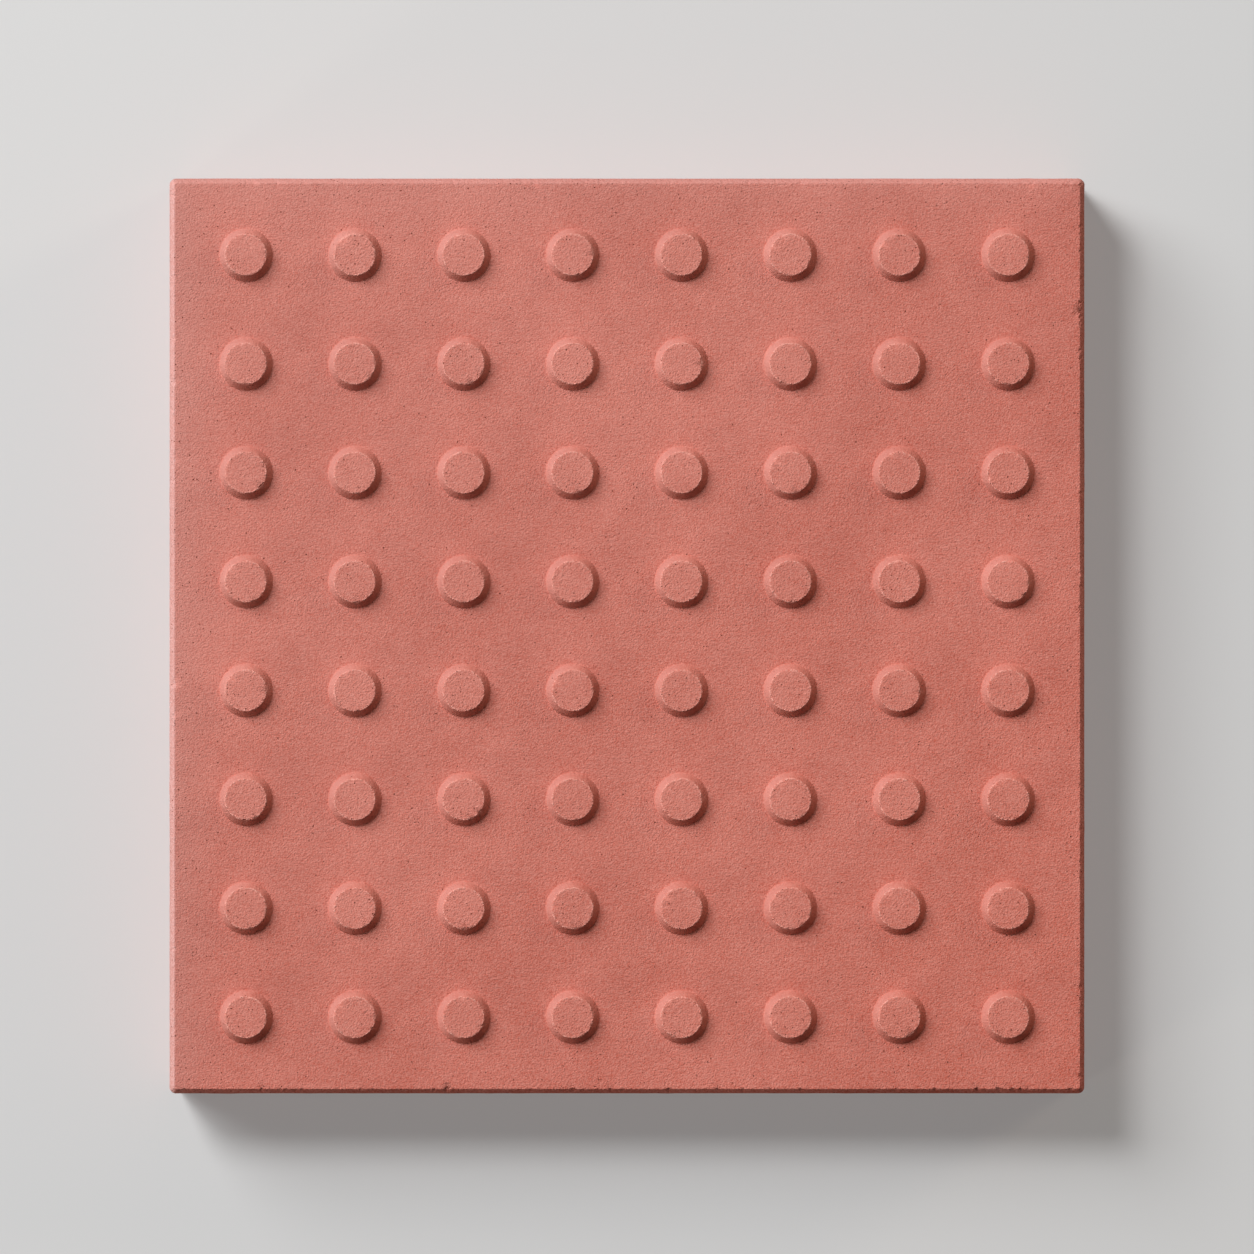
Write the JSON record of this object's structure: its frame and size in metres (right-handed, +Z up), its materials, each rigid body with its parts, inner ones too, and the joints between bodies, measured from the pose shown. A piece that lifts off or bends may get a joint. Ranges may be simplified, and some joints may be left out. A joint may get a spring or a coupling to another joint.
{
  "type": "tactile paving slab",
  "caption": "Square pigmented concrete paving slab with a grid of flat-topped blisters and a bevelled arris, laid flat to warn people underfoot of a crossing or edge.",
  "frame": {"origin": "middle of the bed face, the underside that the slab lies on", "axes": "+Z up out of the walking face, +X and +Y along the two sides"},
  "size_m": [0.4, 0.4, 0.055],
  "materials": {
    "concrete": "matt through-coloured red concrete, fine sanded grain with pinholes"
  },
  "bodies": {
    "root": {"paving_slab": "concrete"}
  },
  "joints": []
}
